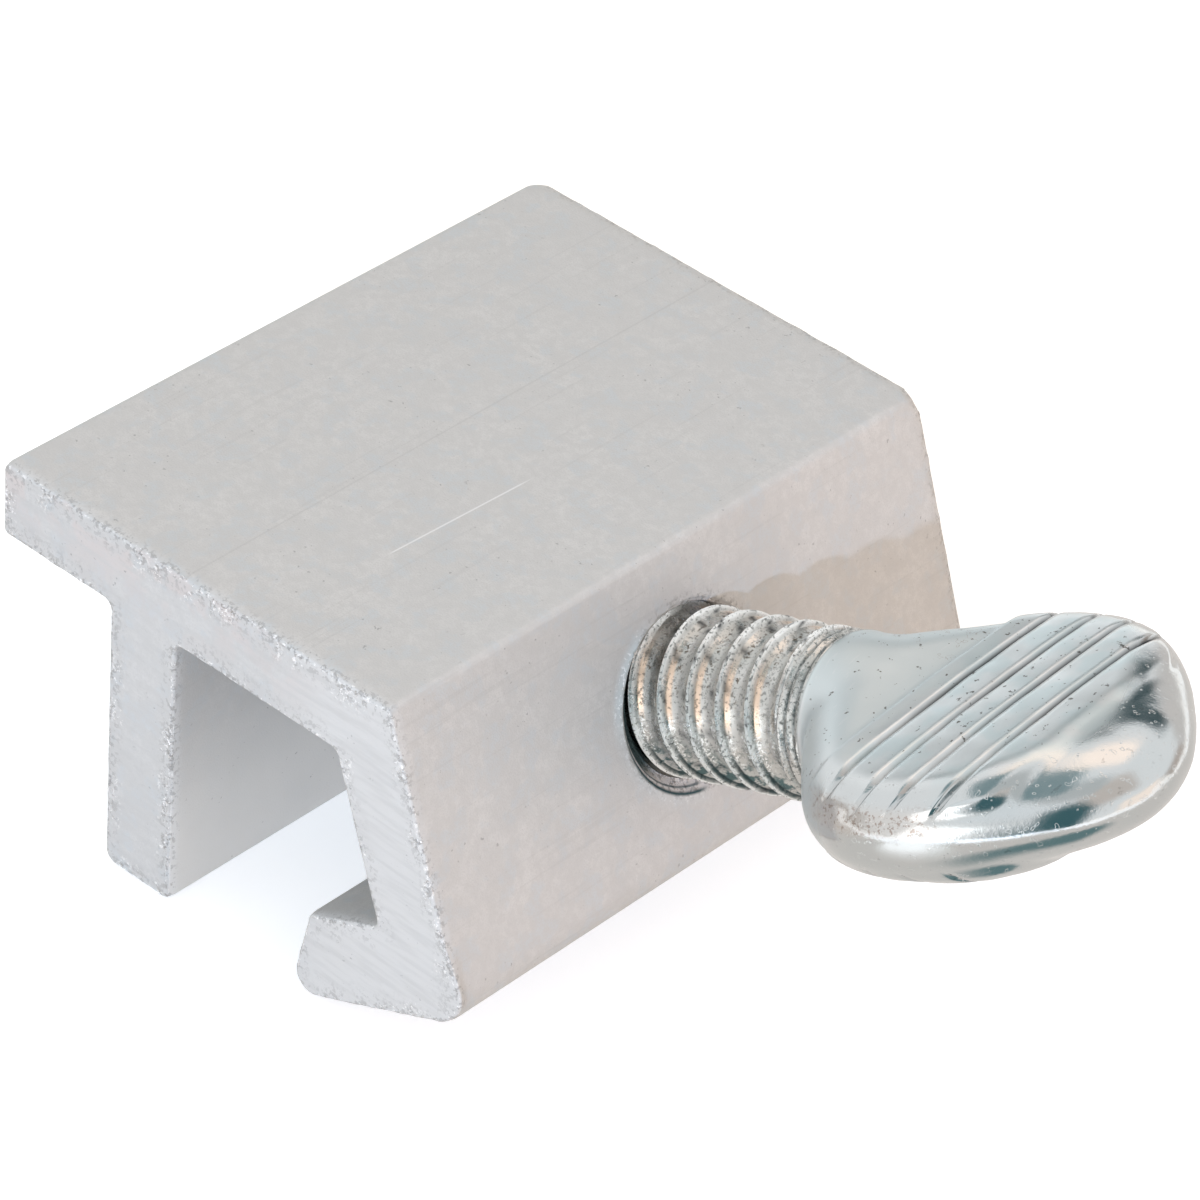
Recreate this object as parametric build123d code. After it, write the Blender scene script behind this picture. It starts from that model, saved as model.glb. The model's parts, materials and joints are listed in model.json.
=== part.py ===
from build123d import *
import math
import os

# Sash lock that clamps on the fin of a sliding window's track. It is two pieces: a sawn length of
# aluminium extrusion, and a forged thumbscrew through the extrusion's sloping wall.
# Units are millimetres and degrees. The origin is the middle of the face that the track fin bears on,
# which is the inner face of the straight leg. +X points from the leg to the thumbscrew, +Y runs along
# the extrusion and +Z points up, away from the track.

# Extrusion section
lock_length = 27.4
plate_width = 19.05
plate_thickness = 3.17
leg_inset = 5.5
leg_thickness = 3.33
lock_height = 14.8
wall_lean = 20.5
wall_thickness = 3.4
wall_drop = 12.2
lip_lean = 24.0
lip_thickness = 3.5
lip_reach = 9.25
lip_nose_slant = 35.5

# Rounding of the section's corners
arris_radius = 0.35
root_radius = 0.3
leg_outer_toe_radius = 0.6
leg_inner_toe_radius = 0.3
nose_top_radius = 0.5
nose_heel_radius = 0.85
foot_radius = 1.4

# Tapped hole, measured down the wall from the top corner. It stands a little off square to the wall.
hole_drop = 5.62
screw_rise = 22.0
hole_radius = 3.18
hole_mouth_chamfer = 0.4

# Thumbscrew, measured along its axis from the wall's outer face
shank_radius = 3.13
shank_inside = 4.8
shank_outside = 8.0
point_chamfer = 0.9
head_turn = 3.5

# Spade head: a round-edged forging, not quite circular, that a flared neck joins to the shank. A lobe
# is how often it comes in a turn, and the part of it that is in line with the screw and across it.
disc_radius = 7.12
disc_centre = 14.31
disc_lobes = ((2, 0.0, -0.08), (3, 0.11, -0.11), (4, 0.24, -0.10))
disc_half_thickness = 1.9
disc_edge_radius = 1.8
neck_middle_distance = 10.0
neck_middle_half_width = 4.9
neck_middle_half_thickness = 2.65
neck_end_distance = 12.4
neck_end_half_width = 5.6
neck_end_half_thickness = 1.85

# Grip ridges, raised across both faces of the disc and parted by narrow grooves
ridge_start = 11.6
groove_distances = (12.65, 14.2, 15.6, 17.2)
groove_width = 0.3
ridge_end = 18.9
ridge_height = 0.2
ridge_foot_height = 1.0

# Places worked out from the driving dimensions, in the section's own axes: x from the plate's free
# edge, z down from the top face
leg_inner_x = leg_inset + leg_thickness
jaw_middle_z = -(plate_thickness + lock_height) / 2


def direction(angle):
    """Unit vector in the section's plane, at this angle above +X."""
    return Vector(math.cos(math.radians(angle)), math.sin(math.radians(angle)))


down_wall = direction(wall_lean - 90)
into_lock = direction(wall_lean + 180)
along_lip = direction(lip_lean + 180)
below_lip = direction(lip_lean - 90)
top_corner = Vector(plate_width, 0)


def crossing(start_a, along_a, start_b, along_b):
    """Point where two lines of the section cross."""
    gap = start_b - start_a
    share = (gap.X * along_b.Y - gap.Y * along_b.X) / (along_a.X * along_b.Y - along_a.Y * along_b.X)
    return start_a + along_a * share


def section_corners():
    """The section's corners in order, each with the radius that rounds it."""
    foot = top_corner + down_wall * wall_drop
    inner_wall = top_corner + into_lock * wall_thickness
    ceiling = Vector(leg_inner_x, -plate_thickness)
    lip_top = foot - below_lip * lip_thickness
    heel = foot + along_lip * lip_reach
    nose = direction(90 + lip_lean - lip_nose_slant)
    return [
        (Vector(0, 0), arris_radius),
        (top_corner, arris_radius),
        (foot, foot_radius),
        (heel, nose_heel_radius),
        (crossing(heel, nose, lip_top, along_lip), nose_top_radius),
        (crossing(lip_top, along_lip, inner_wall, down_wall), root_radius),
        (crossing(inner_wall, down_wall, ceiling, Vector(1, 0)), root_radius),
        (ceiling, root_radius),
        (Vector(leg_inner_x, -lock_height), leg_inner_toe_radius),
        (Vector(leg_inset, -lock_height), leg_outer_toe_radius),
        (Vector(leg_inset, -plate_thickness), root_radius),
        (Vector(0, -plate_thickness), arris_radius),
    ]


def extrusion():
    """The section drawn out along Y, centred on the origin's Y."""
    corners = section_corners()
    outline = make_face(Polyline([point for point, radius in corners], close=True))
    for point, radius in corners:
        corner = outline.vertices().sort_by_distance(point)[0]
        outline = fillet(corner, radius)
    section_plane = Plane(
        origin=(-leg_inner_x, lock_length / 2, -jaw_middle_z), x_dir=(1, 0, 0), z_dir=(0, -1, 0)
    )
    return extrude(section_plane * outline, amount=lock_length)


def screw_plane():
    """Plane across the hole's mouth: Z out along the screw, X across the spade head."""
    mouth = top_corner + down_wall * hole_drop
    rise = math.radians(screw_rise)
    turn = math.radians(head_turn)
    outward = Vector(math.cos(rise), 0, math.sin(rise))
    over = Vector(-math.sin(rise), 0, math.cos(rise))
    across = Vector(0, 1, 0) * math.cos(turn) + over * math.sin(turn)
    origin = (mouth.X - leg_inner_x, 0, mouth.Y - jaw_middle_z)
    return Plane(origin=origin, x_dir=across, z_dir=outward)


def tapped_hole():
    """The drilled cylinder, with a countersink at the mouth that the thread dragged open."""
    drill = Cylinder(hole_radius, 4 * wall_thickness)
    mouth_reach = 1.0
    countersink = Cone(
        hole_radius,
        hole_radius + hole_mouth_chamfer + mouth_reach,
        hole_mouth_chamfer + mouth_reach,
        align=(Align.CENTER, Align.CENTER, Align.MIN),
    )
    return drill + Pos(0, 0, -hole_mouth_chamfer) * countersink


def head_outline():
    """Outline of the spade head: a circle with its lobes, which reaches back into the shank."""
    points = []
    steps = 24
    for step in range(steps):
        angle = 2 * math.pi * step / steps
        radius = disc_radius
        for times, along, across in disc_lobes:
            radius += along * math.cos(times * angle) + across * math.sin(times * angle)
        points.append((radius * math.sin(angle), disc_centre + radius * math.cos(angle)))
    return make_face(Spline(points, periodic=True))


def rounded_disc(rise=0.0):
    """Spade head with its edge rounded, in the screw's own XZ plane, with its faces raised by rise."""
    flat = Plane(origin=(0, 0, 0), x_dir=(1, 0, 0), z_dir=(0, -1, 0)) * head_outline()
    disc = extrude(flat, amount=disc_half_thickness + rise, both=True)
    rims = disc.edges().filter_by(GeomType.BSPLINE)
    return fillet(rims, disc_edge_radius + rise)


def neck():
    """Smooth forged flare from the round shank to the flat of the disc."""
    stations = [
        (shank_outside, shank_radius, shank_radius),
        (neck_middle_distance, neck_middle_half_width, neck_middle_half_thickness),
        (neck_end_distance, neck_end_half_width, neck_end_half_thickness),
    ]
    return loft([Pos(0, 0, distance) * Ellipse(wide, thick) for distance, wide, thick in stations])


def grip_ridges():
    """Raised bands across both faces, which run over the disc's edge and stop short of its middle."""
    raised = rounded_disc(ridge_height)
    edges = [ridge_start]
    for middle in groove_distances:
        edges += [middle - groove_width / 2, middle + groove_width / 2]
    edges.append(ridge_end)
    span = 2 * (disc_radius + 1)
    height = ridge_foot_height + span / 2
    bands = []
    for start, end in zip(edges[::2], edges[1::2]):
        for side in (1, -1):
            bands.append(Pos(0, side * height, (start + end) / 2) * Box(span, span, end - start))
    return raised & Compound(bands)


def shank():
    """Plain shank at the thread's crest diameter, chamfered at its point."""
    length = shank_inside + shank_outside
    body = Pos(0, 0, length / 2 - shank_inside) * Cylinder(shank_radius, length)
    point = body.edges().filter_by(GeomType.CIRCLE).sort_by(Axis.Z)[0]
    return chamfer(point, point_chamfer)


def lock_body():
    return extrusion() - screw_plane() * tapped_hole()


def thumbscrew():
    head = rounded_disc() + neck()
    for band in grip_ridges().solids():
        head += band
    return screw_plane() * (head + shank())


def main():
    os.makedirs("parts", exist_ok=True)
    for name, make in (("lock_body", lock_body), ("thumbscrew", thumbscrew)):
        piece = make()
        piece.label = name
        export_step(piece, os.path.join("parts", f"{name}.step"))


if __name__ == "__main__":
    main()
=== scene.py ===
"""Sash lock: a sawn aluminium extrusion that clamps on a window track, and its forged thumbscrew."""

import json
import math
from contextlib import contextmanager
from types import SimpleNamespace

import bmesh
import bpy
from bpy.props import FloatProperty, FloatVectorProperty, IntProperty, PointerProperty
from mathutils import Matrix, Vector
from mathutils.geometry import intersect_point_line
from mathutils.kdtree import KDTree


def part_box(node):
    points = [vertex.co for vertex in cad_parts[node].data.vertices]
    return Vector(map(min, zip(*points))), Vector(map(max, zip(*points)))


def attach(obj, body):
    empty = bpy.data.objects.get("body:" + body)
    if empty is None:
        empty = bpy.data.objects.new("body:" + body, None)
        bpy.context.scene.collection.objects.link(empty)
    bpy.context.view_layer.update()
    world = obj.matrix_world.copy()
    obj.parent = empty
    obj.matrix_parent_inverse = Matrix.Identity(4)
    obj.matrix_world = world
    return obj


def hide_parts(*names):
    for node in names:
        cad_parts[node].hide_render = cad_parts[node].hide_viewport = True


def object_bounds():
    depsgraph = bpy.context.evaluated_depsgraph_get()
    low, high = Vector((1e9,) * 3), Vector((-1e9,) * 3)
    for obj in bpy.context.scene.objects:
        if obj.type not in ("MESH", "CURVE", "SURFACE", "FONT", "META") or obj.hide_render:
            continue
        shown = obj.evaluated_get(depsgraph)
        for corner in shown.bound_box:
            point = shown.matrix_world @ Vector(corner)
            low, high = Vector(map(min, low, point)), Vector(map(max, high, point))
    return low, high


bl_info = {
    "name": "Sash Lock",
    "version": (1, 0, 0),
    "blender": (4, 5, 0),
    "location": "3D View > Sidebar > Sash Lock",
    "description": "Models a clamp-on sash lock: the sawn extrusion, the forged thumbscrew and a studio",
    "category": "Add Mesh",
}

MM = 0.001

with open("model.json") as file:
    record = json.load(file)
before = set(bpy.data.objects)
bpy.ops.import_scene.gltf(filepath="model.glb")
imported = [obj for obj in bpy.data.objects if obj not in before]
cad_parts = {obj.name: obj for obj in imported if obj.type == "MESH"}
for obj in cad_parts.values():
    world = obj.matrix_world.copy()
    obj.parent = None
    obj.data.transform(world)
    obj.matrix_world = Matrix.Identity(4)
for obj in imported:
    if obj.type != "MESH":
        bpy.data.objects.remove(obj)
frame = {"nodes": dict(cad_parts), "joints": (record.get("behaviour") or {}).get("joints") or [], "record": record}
cad_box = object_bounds()
body_low, body_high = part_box("lock_body")
travel = frame["joints"][0]
screw_mount = next(m for m in frame["record"]["mounts"] if m["name"] == "screw_point")
screw_axis = Vector(travel["axis"]).normalized()
screw_tip = Vector(screw_mount["pos_m"])

# Places along the thumbscrew, measured from the wall's outer face
POINT_AT = -4.8 * MM
NECK_AT = 8.0 * MM
SCREW_MOUTH = screw_tip - POINT_AT * screw_axis
HEAD_TURN = math.radians(3.5)

# Lobes of the spade head's outline, which isn't quite round: how often each comes in a turn, and its
# part in line with the screw and across it
HEAD_LOBES = ((2, 0.0, -0.08 * MM), (3, 0.11 * MM, -0.11 * MM), (4, 0.24 * MM, -0.10 * MM))
# Where the countersink's middle lies from the screw's axis, across it and up
MOUTH_SHIFT = (-0.16 * MM, -0.20 * MM)
# Plate's edge over the wall, and a height just under the plate's top face
PLATE_EDGE = 10.22 * MM
UNDER_TOP = 8.9 * MM
# Where the thread starts to run out below the neck, and the pitch of the rolling marks there
RUN_OUT_AT = 6.5 * MM
MARK_PITCH = 0.43 * MM
# Middles of the grooves between the grip ridges, along the screw
GROOVES = (12.65 * MM, 14.2 * MM, 15.6 * MM, 17.2 * MM)

# Dirt in the chips of the sawn edges and of the hole's mouth
GRIME = (0.16, 0.15, 0.14)

# Corners of the floor card that the gloss sees, in millimetres
TABLE = ((-70, -90), (110, -90), (110, 90), (-70, 90))
# Middle, reach and colour of the card's bright patch before the window and its dark patch by the head
FLOOR_PATCHES = (
    ((30 * MM, -80 * MM, cad_box[0].z), (20 * MM, 66 * MM, 30 * MM), (1.5, 1.5, 1.5)),
    ((51 * MM, -12 * MM, cad_box[0].z), (22 * MM, 14 * MM, 30 * MM), (0.16, 0.26, 0.27)),
)


def screw_frame():
    """Matrix of the screw's own axes: Z out along the screw, X across the spade head."""
    over = Vector((0, 1, 0)).cross(-screw_axis).normalized()
    across = Vector((0, 1, 0)) * math.cos(HEAD_TURN) + over * math.sin(HEAD_TURN)
    upward = screw_axis.cross(across)
    columns = Matrix((across, upward, screw_axis)).transposed()
    return Matrix.Translation(SCREW_MOUTH) @ columns.to_4x4()


SCREW_FRAME = screw_frame()


# Settings


def length_prop(name, description, default):
    """A size, with its default in millimetres."""
    return FloatProperty(name=name, description=description, default=default * MM, unit="LENGTH")


def angle_prop(name, description, default):
    """An angle, with its default in degrees."""
    turn = math.radians(default)
    return FloatProperty(name=name, description=description, default=turn, subtype="ANGLE")


def colour_prop(name, description, default):
    """A colour."""
    return FloatVectorProperty(
        name=name, description=description, default=default, subtype="COLOR", min=0, max=1
    )


class SashLockBodySettings(bpy.types.PropertyGroup):
    arris_width: length_prop("Arris width", "How far the sawn ends' edges are worn round", 0.12)
    outline_spacing: length_prop("Outline spacing", "Longest edge along the section's outline", 0.4)
    burr_height: length_prop("Burr height", "Unevenness of the arrises and of the hole's mouth", 0.10)
    mouth_flare: length_prop("Mouth flare", "Width of the hole's countersink", 0.35)
    colour: colour_prop("Aluminium", "Mill finish of the extrusion", (0.60, 0.595, 0.58))


class SashLockScrewSettings(bpy.types.PropertyGroup):
    pitch: length_prop("Pitch", "Distance between crests", 1.4)
    crest_radius: length_prop("Crest radius", "Outside radius of the thread", 3.13)
    root_radius: length_prop("Root radius", "Radius at the bottom of the thread", 2.75)
    crest_phase: length_prop(
        "Crest phase", "Where a crest crosses the plane of the head, from the wall's face", 0.62
    )
    thread_fit: length_prop("Thread fit", "Room between the screw's thread and the wall's", 0.05)
    turn_steps: IntProperty(name="Turn steps", description="Facets in one turn", default=72)
    disc_radius: length_prop("Disc radius", "Half the width of the spade head", 7.12)
    disc_centre: length_prop("Disc centre", "Middle of the spade head", 14.31)
    disc_half_thickness: length_prop(
        "Disc half thickness", "Half the thickness between the ridges' feet", 1.9
    )
    disc_edge_depth: length_prop("Disc edge depth", "Depth of the rounded edge", 1.8)
    far_round: length_prop("Far rounding", "How much deeper the edge's rounding is at the far end", 1.1)
    ridge_start: length_prop("Ridges start", "First ridge's near edge", 11.6)
    ridge_end: length_prop("Ridges end", "Last ridge's far edge", 18.9)
    groove_width: length_prop("Groove width", "Width of the groove between ridges", 0.2)
    ridge_height: length_prop("Ridge height", "How far the ridges stand up", 0.2)
    ridge_foot: length_prop("Ridge foot", "Height over the head's middle plane where a ridge ends", 1.0)
    ridge_lean: FloatProperty(
        name="Ridge lean",
        description="How far a ridge's end leans to the neck per drop down the edge",
        default=0.7,
    )
    colour: colour_prop("Zinc", "Bright zinc plating", (0.69, 0.72, 0.73))


class SashLockStageSettings(bpy.types.PropertyGroup):
    focal_length: FloatProperty(
        name="Focal length", description="Lens on a 36 mm sensor, in millimetres", default=173.8
    )
    camera_distance: length_prop("Camera distance", "From the aim point", 212.5)
    camera_azimuth: angle_prop("Camera azimuth", "Turn from the near end", 39.886)
    camera_elevation: angle_prop("Camera elevation", "Height over the floor", 37.2)
    camera_roll: angle_prop("Camera roll", "Tilt of the frame", 4.835)
    aim: FloatVectorProperty(
        name="Aim",
        description="Point on the camera's axis nearest the origin",
        default=(3.967 * MM, 4.192 * MM, 0.887 * MM),
        subtype="XYZ",
        unit="LENGTH",
    )
    floor_colour: colour_prop("Floor", "Pale paper floor", (0.86, 0.84, 0.81))
    room_colour: colour_prop("Room", "Light of the room", (0.93, 0.91, 0.85))
    side_colour: colour_prop(
        "Warm side", "Light of the room from the thumbscrew's side", (0.95, 0.72, 0.56)
    )
    key_power: FloatProperty(name="Key power", description="Key lamp, in watts", default=2.0)
    side_power: FloatProperty(
        name="Side power", description="Warm lamp on the right, in watts", default=0.4
    )
    overhead_power: FloatProperty(
        name="Overhead power", description="Cool lamp overhead, in watts", default=0.24
    )


# Shared modelling steps


def deselect_all():
    bpy.ops.object.select_all(action="DESELECT")


def make_active(piece):
    deselect_all()
    piece.select_set(True)
    bpy.context.view_layer.objects.active = piece


@contextmanager
def editing(piece):
    """Edit mode on one piece's vertices, with nothing selected."""
    make_active(piece)
    bpy.ops.object.mode_set(mode="EDIT")
    bpy.ops.mesh.select_mode(type="VERT")
    bpy.ops.mesh.select_all(action="DESELECT")
    yield
    bpy.ops.object.mode_set(mode="OBJECT")


@contextmanager
def shaping(piece):
    """The piece's mesh as a bmesh, written back at the end."""
    shape = bmesh.new()
    shape.from_mesh(piece.data)
    yield shape
    shape.to_mesh(piece.data)
    shape.free()
    piece.data.update()


def pick(kind, test):
    """Selects only the vertices, edges or faces that pass the test, and says how many."""
    bpy.ops.mesh.select_mode(type=kind)
    bpy.ops.mesh.select_all(action="DESELECT")
    mesh = bpy.context.edit_object.data
    shape = bmesh.from_edit_mesh(mesh)
    items = {"VERT": shape.verts, "EDGE": shape.edges, "FACE": shape.faces}[kind]
    count = 0
    for item in items:
        if test(item):
            item.select_set(True)
            count += 1
    shape.select_flush_mode()
    bmesh.update_edit_mesh(mesh)
    return count


def pick_all():
    bpy.ops.mesh.select_all(action="SELECT")


def extrude_by(x, y, z):
    bpy.ops.mesh.extrude_region_move(TRANSFORM_OT_translate={"value": (x, y, z)})


def finish_modifier(piece, name, kind, **settings):
    """Adds a modifier with these settings and applies it."""
    make_active(piece)
    modifier = piece.modifiers.new(name, kind)
    for key, value in settings.items():
        setattr(modifier, key, value)
    bpy.ops.object.modifier_apply(modifier=name)


def cut_away(piece, cutter, operation="DIFFERENCE"):
    finish_modifier(piece, "join", "BOOLEAN", operation=operation, solver="EXACT", object=cutter)
    bpy.data.objects.remove(cutter)


def new_object(name):
    """The primitive that was just added, under the piece's name."""
    piece = bpy.context.object
    piece.name = name
    piece.data.name = name
    return piece


def toward(azimuth, elevation):
    """Unit vector at these angles in degrees, the azimuth turned from the near end to the thumbscrew."""
    turn = math.radians(azimuth)
    rise = math.radians(elevation)
    flat = math.cos(rise)
    return Vector((math.sin(turn) * flat, -math.cos(turn) * flat, math.sin(rise)))


def smoothly(value, low, high):
    """0 below low, 1 above high, and an S curve between."""
    share = min(1.0, max(0.0, (value - low) / (high - low)))
    return share * share * (3 - 2 * share)


def roughen(piece, weight, size, strength):
    """Displaces a piece along its normals by a fixed noise, as far as weight(vertex) allows."""
    group = piece.vertex_groups.new(name="uneven")
    for vertex in piece.data.vertices:
        share = weight(vertex)
        if share > 0:
            group.add([vertex.index], share, "REPLACE")
    texture = bpy.data.textures.new("uneven", "CLOUDS")
    texture.noise_scale = size
    texture.noise_depth = 2
    finish_modifier(
        piece, "uneven", "DISPLACE",
        texture=texture, texture_coords="LOCAL", vertex_group="uneven", strength=strength, mid_level=1.0,
    )
    piece.vertex_groups.clear()


def store(piece, name, values):
    """Leaves one value per vertex on the mesh, for its material to read."""
    layer = piece.data.attributes.new(name, "FLOAT", "POINT")
    for vertex, value in zip(piece.data.vertices, values):
        layer.data[vertex.index].value = value


def mark_arrises(piece, reach):
    """Stores how sharply the surface turns at each vertex, and how near each one is to such a place."""
    blunt = math.radians(14)
    sharp_angle = math.radians(34)
    with shaping(piece) as shape:
        turns = []
        for vertex in shape.verts:
            angles = [edge.calc_face_angle(0.0) for edge in vertex.link_edges]
            turns.append(smoothly(max(angles, default=0.0), blunt, sharp_angle))
    places = [v.co.copy() for v in piece.data.vertices]
    sharp = [index for index, turn in enumerate(turns) if turn > 0.5]
    tree = KDTree(len(sharp))
    for index in sharp:
        tree.insert(places[index], index)
    tree.balance()
    store(piece, "arris", turns)
    store(piece, "near_arris", [1 - smoothly(tree.find(place)[2], 0.0, reach) for place in places])


def apply_place(piece):
    """Puts the piece's place, turn and size in its mesh."""
    make_active(piece)
    bpy.ops.object.transform_apply(location=True, rotation=True, scale=True)


def place_on_screw(piece):
    """Takes a piece from the screw's own axes to its place in the frame."""
    piece.matrix_world = SCREW_FRAME
    apply_place(piece)


def dress(piece, body, material):
    piece.data.materials.clear()
    piece.data.materials.append(material)
    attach(piece, body)


# Thread


def thread_profile(settings):
    """One pitch of the thread from crest to crest, as steps up the axis and radii.

    A crest has a seam along its middle between two lips, and a round groove follows its shoulder.
    """
    crest = settings.crest_radius
    root = settings.root_radius
    pitch = settings.pitch
    seam = 0.08 * MM
    lip = 0.07 * MM
    shoulder = 0.15 * MM
    shoulder_radius = crest - 0.5 * (crest - root)
    half = [
        (0, crest - seam),
        (0.03 * MM, crest - 0.8 * seam),
        (lip, crest),
        (0.11 * MM, crest - 0.04 * MM),
    ]
    for share in (0.0, 0.15, 0.4, 0.7, 0.9):
        drop = math.sin(math.radians(90 * share))
        up = shoulder + share * (pitch / 2 - shoulder)
        half.append((up, shoulder_radius + (root - shoulder_radius) * drop))
    return half + [(pitch - up, radius) for up, radius in reversed(half)]


def threaded_rod(name, settings, low, high, growth=0.0):
    """A threaded rod from low to high on the screw's axis. Growth widens it, to cut a nut's thread."""
    profile = thread_profile(settings)
    turns_below = math.ceil((settings.crest_phase - low) / settings.pitch) + 1
    start = settings.crest_phase - turns_below * settings.pitch
    turns = math.ceil((high - start) / settings.pitch) + 1
    bpy.ops.mesh.primitive_plane_add(size=settings.pitch)
    rod = new_object(name)
    with editing(rod):
        pick_all()
        bpy.ops.mesh.merge(type="CENTER")
        bpy.ops.transform.translate(value=(profile[0][1] + growth, 0, start))
        for (up, radius), (next_up, next_radius) in zip(profile, profile[1:]):
            extrude_by(next_radius - radius, 0, next_up - up)
    finish_modifier(
        rod, "thread", "SCREW",
        screw_offset=settings.pitch, iterations=turns, steps=settings.turn_steps,
        render_steps=settings.turn_steps, use_merge_vertices=False,
    )
    with editing(rod):
        pick_all()
        bpy.ops.mesh.remove_doubles(threshold=0.004 * MM)
        for place, above in ((low, False), (high, True)):
            pick_all()
            bpy.ops.mesh.bisect(
                plane_co=(0, 0, place), plane_no=(0, 0, 1),
                use_fill=True, clear_inner=not above, clear_outer=above, threshold=0.0001 * MM,
            )
        pick_all()
        bpy.ops.mesh.normals_make_consistent(inside=False)
    return rod


# Thumbscrew


def turn_point(rod, settings):
    """Turns the point to a cone and fades the thread out below the neck, with its rolling marks."""
    cone_length = 0.9 * MM
    fade_end = 7.0 * MM
    mark_height = 0.08 * MM
    with shaping(rod) as shape:
        for vertex in shape.verts:
            radius = math.hypot(vertex.co.x, vertex.co.y)
            if radius < 0.1 * MM:
                continue
            along = vertex.co.z
            limit = settings.crest_radius - cone_length + (along - POINT_AT)
            target = min(radius, limit)
            fade = smoothly(along, RUN_OUT_AT, fade_end)
            marks = mark_height * math.cos((along - RUN_OUT_AT) / MARK_PITCH * 2 * math.pi)
            rolled = settings.crest_radius - mark_height + marks
            if along < NECK_AT - 0.001 * MM:
                target += fade * (min(rolled, settings.crest_radius) - target)
            vertex.co.x *= target / radius
            vertex.co.y *= target / radius


def ridge_rows(settings):
    """Rows of vertices across the ridges, as distances along the screw and their share of the height."""
    half_groove = settings.groove_width / 2
    starts = [settings.ridge_start] + [middle + half_groove for middle in GROOVES]
    ends = [middle - half_groove for middle in GROOVES] + [settings.ridge_end - 0.3 * MM]
    rows = [(settings.ridge_start - 0.1 * MM, 0.0), (settings.ridge_start - 0.04 * MM, 0.1)]
    edge = 0.02 * MM
    shoulder = 0.07 * MM
    crown = 0.25
    for start, end in zip(starts, ends):
        width = end - start
        rows += [(start + edge, 0.75), (start + shoulder, 0.97)]
        for share in (0.2, 0.4, 0.6, 0.8):
            rows.append((start + share * width, 1.0 + crown * share * (1 - share)))
        rows.append((end - shoulder, 0.97))
        if end < settings.ridge_end - 0.5 * MM:
            rows.append((end - edge, 0.75))
            rows += [(end + share * half_groove * 2, 0.0) for share in (0.3, 0.7)]
    rows += [(settings.ridge_end - 0.15 * MM, 0.75), (settings.ridge_end + 0.05 * MM, 0.4)]
    rows += [(settings.ridge_end + 0.25 * MM, 0.15), (settings.ridge_end + 0.5 * MM, 0.0)]
    return rows


def head_rows(settings):
    """All rows of the head from inside the shank to the disc's far edge."""
    ridges = ridge_rows(settings)
    rows = [(along * MM, 0.0) for along in (6.9, 7.0, 7.6, 7.8, 7.86)]
    neck_count = 20
    neck_length = ridges[0][0] - NECK_AT
    rows += [(NECK_AT + neck_length * index / neck_count, 0.0) for index in range(neck_count)]
    rows += ridges
    last = ridges[-1][0]
    tip = disc_point(0, settings)[1]
    edge_count = 24
    for index in range(1, edge_count + 1):
        rows.append((last + (tip - last) * math.sin(math.pi / 2 * index / edge_count), 0.0))
    return rows


def disc_point(angle, settings):
    """Point of the head's outline at this angle from its far end, as width and distance."""
    radius = settings.disc_radius
    for times, along, across in HEAD_LOBES:
        radius += along * math.cos(times * angle) + across * math.sin(times * angle)
    return radius * math.sin(angle), settings.disc_centre + radius * math.cos(angle)


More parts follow.
